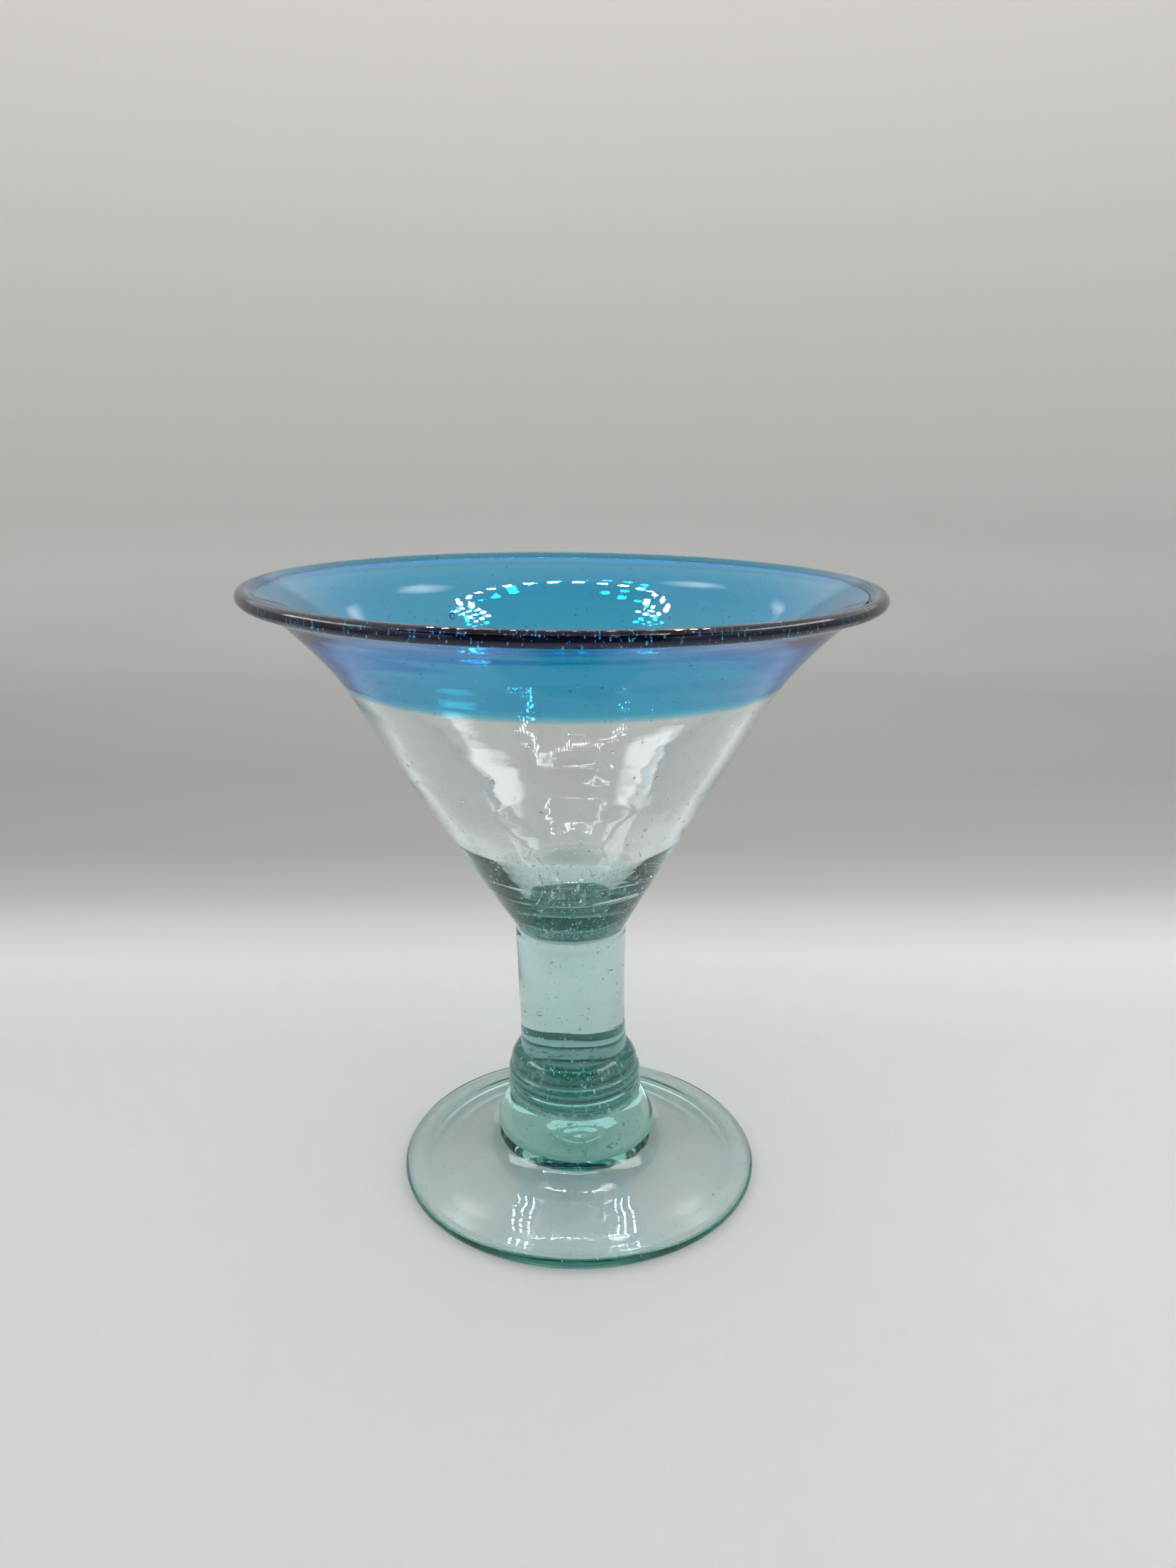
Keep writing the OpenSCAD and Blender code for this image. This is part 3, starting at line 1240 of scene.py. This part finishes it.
@dataclass(frozen=True)
class Sweep:
    """The pale floor and backdrop, one round surface, its colour painted with light and shade.

    Attributes:
        radius: Radius of the wall in metres.
        height: Height of the wall in metres.
        corner: Radius of the rounded corner between the floor and the wall.
        first: Radius of the floor's innermost ring.
        floor_rings: Number of rings on the flat floor.
        corner_rings: Number of points round the corner.
        around: Number of angles round the surface.
        tones_with_painted_light: Places along the floor and up the wall in metres, with the colour at each:
            the sweep's pale tone with painted light and shade in bands.
        drop: Air gap under the glass in metres, which keeps the foot's underside mirroring.
        painted_side_light: How much brighter the sweep is painted per metre towards +X, a painted side
            light.
        painted_side_light_ends: Places between which the painted side light fades out.
        painted_band_tilt: How far the painted bands of light and shade move away per metre towards +X.
        forward: How far the middle of the near rectangle lies towards the camera.
        near: Half width and half depth of the level rectangle past which the tones start.
        wall_rate: How many times faster the tones run close to the wall.
        wall_gap: Distance by which the tones at the wall fall short of its radius.
    """

    radius: float = 0.85
    height: float = 0.62
    corner: float = 0.12
    first: float = 0.02
    floor_rings: int = 24
    corner_rings: int = 12
    around: int = 128
    # Pale tone of the sweep with painted light and shade: lighter and darker bands by distance and height
    tones_with_painted_light: tuple[tuple[float, Colour], ...] = (
        (-0.30, (0.745, 0.735, 0.725)),
        (-0.10, (0.71, 0.705, 0.70)),
        (-0.03, (0.78, 0.78, 0.78)),
        (0.00, (0.68, 0.68, 0.675)),
        (0.04, (0.50, 0.50, 0.50)),
        (0.09, (0.41, 0.415, 0.415)),
        (0.22, (0.39, 0.395, 0.39)),
        (0.40, (0.45, 0.455, 0.445)),
        (0.69, (0.57, 0.575, 0.565)),
        (0.80, (0.65, 0.645, 0.63)),
        (1.00, (0.72, 0.70, 0.675)),
        (1.22, (0.80, 0.77, 0.745)),
    )
    drop: float = 0.00015
    # Painted side light: the sweep is painted brighter towards +X, and its painted bands of light and shade
    # slant
    painted_side_light: float = 0.22
    painted_side_light_ends: Point = (0.10, 0.45)
    painted_band_tilt: float = 0.04
    forward: float = 0.04
    near: Point = (0.38, 0.20)
    wall_rate: float = 4.0
    wall_gap: float = 0.16

    def build(self) -> None:
        """Makes the surface: a flat floor, a rounded corner and an upright wall.

        Its outline is turned round the axis, and its middle is one point.
        """
        inner = self.radius - self.corner
        turn = np.linspace(0.0, math.pi / 2, self.corner_rings)[1:]
        flat = np.linspace(self.first, inner, self.floor_rings)
        radius = np.concatenate([flat, inner + self.corner * np.sin(turn), [self.radius]])
        rise = self.corner - self.corner * np.cos(turn)
        height = np.concatenate([np.zeros(len(flat)), rise, [self.height]])
        theta = np.linspace(0, FULL_TURN, self.around, endpoint=False)
        level = np.outer(height, np.ones(self.around))
        rings = np.stack([np.outer(radius, np.cos(theta)), np.outer(radius, np.sin(theta)), level], axis=-1)
        points = np.concatenate([[[0.0, 0.0, 0.0]], rings.reshape(-1, 3)]) - [0.0, 0.0, self.drop]
        i = np.arange(self.around)
        k = (i + 1) % self.around
        middle = np.stack([np.zeros(self.around, int), 1 + i, 1 + k], axis=1)
        j = 1 + self.around * np.arange(len(radius) - 1)[:, None]
        outer = np.stack([j + i, j + self.around + i, j + self.around + k, j + k], axis=-1).reshape(-1, 4)
        loops = np.concatenate([middle.ravel(), outer.ravel()])
        sizes = np.concatenate([np.full(len(middle), 3), np.full(len(outer), 4)])
        made = place_object("sweep", mesh_from("sweep", points, loops, sizes), self.material())

    def material(self) -> bpy.types.Material:
        """Builds the sweep's material, a pale tone painted with light and shade.

        The tone, the sweep's pale colour with painted light and shade, follows the distance past the edge
        of a level rectangle round the glass, and near the wall a multiple of the distance to it, plus the
        height, less the tilt times X, which slants the painted bands. It is then multiplied by one plus the
        lift times X, a painted side light that fades out before the wall.

        Returns:
            The material.
        """
        sweep = Shading("sweep_painted_light")
        where = sweep.add("TexCoord", {})["Object"]
        across = sweep.add("SeparateXYZ", {"Vector": where})["X"]
        moved = sweep.vector("ADD", where, (0.0, self.forward, 0.0))
        past = sweep.vector("SUBTRACT", sweep.vector("ABSOLUTE", moved), (*self.near, 0.0))
        parts = sweep.add("SeparateXYZ", {"Vector": past})
        near = sweep.number("MAXIMUM", parts["X"], parts["Y"])
        reach = sweep.vector("LENGTH", sweep.vector("MULTIPLY", where, (1.0, 1.0, 0.0)))
        start = self.radius - self.wall_gap - self.wall_rate * self.radius
        far = sweep.number("MAXIMUM", near, sweep.number("MULTIPLY_ADD", reach, self.wall_rate, start))
        rise = sweep.number("ADD", far, parts["Z"])
        path = sweep.number("MULTIPLY_ADD", across, -self.painted_band_tilt, rise)
        low, high = self.tones_with_painted_light[0][0], self.tones_with_painted_light[-1][0]
        share = sweep.add("MapRange", {"Value": path, "From Min": low, "From Max": high})["Result"]
        # The ramp paints the sweep's pale tone with bands of painted light and shade
        ramp = sweep.nodes.new("ShaderNodeValToRGB")
        while len(ramp.color_ramp.elements) < len(self.tones_with_painted_light):
            ramp.color_ramp.elements.new(0.5)
        for element, (place, tone) in zip(ramp.color_ramp.elements, self.tones_with_painted_light):
            element.position = (place - low) / (high - low)
            element.color = (*tone, 1.0)
        sweep.fill(ramp, {"Fac": share})
        # Painted side light: the tone is painted brighter towards +X, fading out before the wall
        fade = sweep.add("MapRange", {
            "Value": path,
            "From Min": self.painted_side_light_ends[0],
            "From Max": self.painted_side_light_ends[1],
            "To Min": self.painted_side_light,
            "To Max": 0.0,
        })["Result"]
        bright = sweep.number("MULTIPLY_ADD", across, fade, 1.0)
        shade = sweep.add("VectorMath", {0: ramp.outputs["Color"], "Scale": bright}, "SCALE")["Vector"]
        sweep.fill(sweep.shader, {"Roughness": 0.6, "Specular IOR Level": 0.2, "Base Color": shade})
        return sweep.made


@dataclass(frozen=True)
class Glow:
    """Light of a lamp or panel that is seen only in the glass, and isn't sampled as a lamp.

    Attributes:
        strength: Brightness.
        colour: Colour of the light.
        through: Whether it is seen through the glass.
        mirrored: Whether it is seen mirrored in the glass.
    """

    strength: float
    colour: Colour = (1.0, 1.0, 0.99)
    through: bool = True
    mirrored: bool = True

    def material(self, name: str) -> bpy.types.Material:
        """Builds the material, which fades to clear where the attribute lit falls to zero.

        Args:
            name: Name of the material.

        Returns:
            The material.
        """
        light = Shading(name)
        light.nodes.remove(light.shader)
        shine = light.add("Emission", {"Color": (*self.colour, 1.0), "Strength": self.strength})["Emission"]
        clear = light.add("BsdfTransparent", {})["BSDF"]
        blend = light.add("MixShader", {"Fac": light.attribute("lit"), 1: clear, 2: shine})["Shader"]
        light.fill(light.output, {"Surface": blend})
        light.made.cycles.emission_sampling = "NONE"
        return light.made

    def hang(self, name: str, points: np.ndarray, loops: np.ndarray, lit: np.ndarray) -> None:
        """Puts four-sided faces that glow into the scene.

        Args:
            name: Name of the object.
            points: Corners in metres.
            loops: Numbers of the corners, four for each face.
            lit: How brightly each corner glows, from zero to one.
        """
        mesh = mesh_from(name, points, loops, np.full(len(loops) // 4, 4))
        mark(mesh, "lit", "POINT", lit)
        made = place_object(name, mesh, self.material(name + "_light"))
        made.visible_camera = False
        made.visible_diffuse = False
        made.visible_transmission = self.through
        made.visible_glossy = self.mirrored
        made.visible_shadow = False


@dataclass(frozen=True)
class LampFrame:
    """Rows of small lamps round the glass.

    Attributes:
        name: Name of the object.
        rows: Corners of each row in metres.
        glow: Their light.
        height: Height above the floor in metres.
        gap: Distance between lamps in metres.
        dot: Width of a lamp in metres.
    """

    name: str
    rows: tuple[tuple[Point, ...], ...]
    glow: Glow
    height: float = 0.33
    gap: float = 0.011
    dot: float = 0.0042

    def places(self) -> np.ndarray:
        """Middles of the lamps, evenly spaced along each row.

        Returns:
            Places in metres.
        """
        dots = []
        for row in self.rows:
            corners = np.array(row)
            steps = np.linalg.norm(np.diff(corners, axis=0), axis=1)
            way = np.concatenate([[0.0], np.cumsum(steps)])
            at = np.linspace(0.0, way[-1], int(way[-1] / self.gap) + 1)
            dots.append(np.stack([np.interp(at, way, corners[:, axis]) for axis in (0, 1)], axis=1))
        flat = np.concatenate(dots)
        return np.column_stack([flat, np.full(len(flat), self.height)])

    def build(self) -> None:
        """Makes the lamps as one object of small squares that face down."""
        half = self.dot / 2
        square = np.array([(-half, -half, 0), (-half, half, 0), (half, half, 0), (half, -half, 0)])
        points = (self.places()[:, None, :] + square[None]).reshape(-1, 3)
        self.glow.hang(self.name, points, np.arange(len(points)), np.ones(len(points)))


LAMP_WHITE = (0.92, 0.97, 1.0)
BRIGHT_LAMPS = LampFrame("bright_lamps", (
    ((0.070, 0.007), (0.062, 0.046), (0.040, 0.050), (-0.051, 0.050), (-0.067, 0.040), (-0.069, 0.017)),
    ((0.080, 0.008), (0.072, 0.048)),
    ((0.090, 0.010), (0.082, 0.050)),
    ((-0.077, 0.042), (-0.079, 0.018)),
    ((-0.087, 0.044), (-0.089, 0.020)),
), Glow(110.0, LAMP_WHITE), dot=0.0052)
FOOT_LAMPS = LampFrame("foot_lamps", (
    ((-0.0420, 0.0290), (-0.0394, 0.0321), (-0.0349, 0.0365), (-0.0310, 0.0430)),
    ((-0.0365, 0.0250), (-0.0353, 0.0268), (-0.0309, 0.0332), (-0.0272, 0.0415)),
    ((-0.0316, 0.0195), (-0.0310, 0.0205), (-0.0270, 0.0297), (-0.0235, 0.0395)),
    ((0.0262, 0.0157), (0.0222, 0.0270), (0.0188, 0.0355)),
    ((0.0302, 0.0195), (0.0298, 0.0203), (0.0254, 0.0294), (0.0222, 0.0380)),
    ((0.0350, 0.0235), (0.0341, 0.0251), (0.0298, 0.0325), (0.0266, 0.0415)),
), Glow(75.0, (0.50, 0.93, 1.0), through=False), height=0.10, gap=0.0020, dot=0.0011)
FRONT_LAMPS = LampFrame("front_lamps", (
    ((0.116, -0.095), (0.071, -0.135), (0.085, -0.136), (0.104, -0.140), (0.058, -0.163), (-0.030, -0.161),
     (-0.132, -0.152), (-0.189, -0.109), (-0.144, -0.115), (-0.165, -0.086)),
), Glow(110.0, LAMP_WHITE), gap=0.009, dot=0.0028)


@dataclass(frozen=True)
class Panel:
    """A soft, bright or dim panel of the room round the glass.

    Attributes:
        name: Name of the object.
        corners: Its four corners in metres.
        glow: Its light.
        soft: Share of its width over which it fades towards each edge.
    """

    name: str
    corners: tuple[Spot, ...]
    glow: Glow
    soft: float = 0.1

    def build(self) -> None:
        """Makes the panel as four by four points: the outer ring clear and the middle ones lit."""
        share = np.array([0.0, self.soft, 1.0 - self.soft, 1.0])
        u, v = (grid.ravel()[:, None] for grid in np.meshgrid(share, share, indexing="ij"))
        first, second, third, fourth = np.array(self.corners)
        points = (1 - u) * ((1 - v) * first + v * second) + u * ((1 - v) * fourth + v * third)
        start = (4 * np.arange(3)[:, None] + np.arange(3)).ravel()
        loops = np.stack([start, start + 1, start + 5, start + 4], axis=1).ravel()
        inner = np.array([0.0, 1.0, 1.0, 0.0])
        self.glow.hang(self.name, points, loops, np.outer(inner, inner).ravel())


def level_at(height: float, *corners: Point) -> tuple[Spot, ...]:
    """Corners of a level panel.

    Args:
        height: Height above the floor in metres.
        corners: Places of the corners in metres.

    Returns:
        The corners.
    """
    return tuple((x, y, height) for x, y in corners)


def upright_at(depth: float, half: float, low: float, high: float) -> tuple[Spot, ...]:
    """Corners of an upright panel across the view.

    Args:
        depth: Its place along Y in metres.
        half: Half its width.
        low: Height of its lower edge.
        high: Height of its upper edge.

    Returns:
        The corners.
    """
    return (-half, depth, low), (-half, depth, high), (half, depth, high), (half, depth, low)


def make_panels() -> list[Panel]:
    """Lists the panels.

    They are the tent's roof with its dark opening and door, a dim front for what mirrors it, a glow in
    front for what is seen through the glass, and a soft box and two patches of light at each side.

    Returns:
        The panels.
    """
    roof = level_at(0.345, (-0.6, -0.6), (-0.6, 0.6), (0.6, 0.6), (0.6, -0.6))
    opening = level_at(0.340, (-0.190, -0.165), (-0.075, 0.060), (0.075, 0.060), (0.190, -0.165))
    door = level_at(0.339, (-0.34, -0.59), (-0.34, -0.166), (0.34, -0.166), (0.34, -0.59))
    left_box = level_at(0.335, (-0.225, -0.120), (-0.345, 0.110), (-0.520, 0.140), (-0.360, -0.160))
    right_box = level_at(0.335, (0.185, -0.125), (0.300, 0.105), (0.430, 0.105), (0.300, -0.150))
    panels = [
        Panel("tent_roof", roof, Glow(1.0, through=False)),
        Panel("tent_opening", opening, Glow(0.40, through=False)),
        Panel("tent_door", door, Glow(0.06, through=False)),
        Panel("dim_front", upright_at(-0.42, 0.3, 0.04, 0.33), Glow(0.10, through=False)),
        Panel("soft_box_left", left_box, Glow(6.0), soft=0.12),
        Panel("soft_box_right", right_box, Glow(6.0), soft=0.12),
        Panel("front_glow", upright_at(-0.58, 0.60, 0.03, 0.50), Glow(2.0, mirrored=False), soft=0.2),
    ]
    for name, side in (("left", -1.0), ("right", 1.0)):
        near = level_at(0.336, (side * 0.042, 0.078), (side * 0.042, 0.145),
                        (side * 0.072, 0.145), (side * 0.072, 0.078))
        panels.append(Panel("near_patch_" + name, near, Glow(6.0, through=False), soft=0.4))
        far = level_at(0.336, (side * 0.090, 0.235), (side * 0.105, 0.340),
                       (side * 0.165, 0.340), (side * 0.140, 0.235))
        panels.append(Panel("far_patch_" + name, far, Glow(3.5, through=False), soft=0.4))
    return panels


def light_world() -> None:
    """Fills the scene with even light from all around."""
    world = bpy.data.worlds.new("soft_world")
    bpy.context.scene.world = world
    world.use_nodes = True
    back = world.node_tree.nodes["Background"]
    back.inputs["Color"].default_value = (1.0, 0.995, 0.985, 1.0)
    back.inputs["Strength"].default_value = 1.2


@dataclass(frozen=True)
class View:
    """The camera, where the photograph was taken from.

    Attributes:
        place: Where it stands, in metres.
        down: How far it looks down, in degrees.
        roll: How far it is turned about its line of sight, in degrees.
        lens: Focal length in millimetres.
        sensor: Width of the sensor in millimetres.
        clip: Nearest and furthest distance that it sees, in metres.
    """

    place: Spot = (0.00136, -0.2821, 0.19075)
    down: float = 16.48
    roll: float = 0.58
    lens: float = 26.853
    sensor: float = 36.0
    clip: Point = (0.01, 10.0)

    def build(self) -> None:
        """Makes the camera."""
        data = bpy.data.cameras.new("camera")
        data.lens = self.lens
        data.sensor_width = self.sensor
        data.clip_start, data.clip_end = self.clip
        made = bpy.data.objects.new("camera", data)
        bpy.context.scene.collection.objects.link(made)
        made.location = self.place
        made.rotation_mode = "QUATERNION"
        pitch = Quaternion((1.0, 0.0, 0.0), math.radians(90.0 - self.down))
        roll = Quaternion((0.0, 0.0, 1.0), math.radians(self.roll))
        made.rotation_quaternion = pitch @ roll
        bpy.context.scene.camera = made


def set_render() -> None:
    """Lets light pass through enough glass, and keeps plain colours."""
    scene = bpy.context.scene
    scene.view_settings.view_transform = "Standard"
    scene.cycles.max_bounces = 64
    scene.cycles.transmission_bounces = 48
    scene.cycles.glossy_bounces = 48
    scene.cycles.transparent_max_bounces = 16
    scene.cycles.sample_clamp_indirect = 60.0


def clear_scene() -> None:
    """Removes the objects of the start-up file."""
    for thing in list(bpy.data.objects):
        bpy.data.objects.remove(thing, do_unlink=True)


def main() -> None:
    """Builds the scene."""
    logging.basicConfig(level=logging.INFO, format="%(name)s: %(message)s")
    clear_scene()
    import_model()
    for part in (make_glass(), Sweep(), BRIGHT_LAMPS, FOOT_LAMPS, FRONT_LAMPS, *make_panels(), View()):
        part.build()
    light_world()
    set_render()


if __name__ == "__main__":
    main()
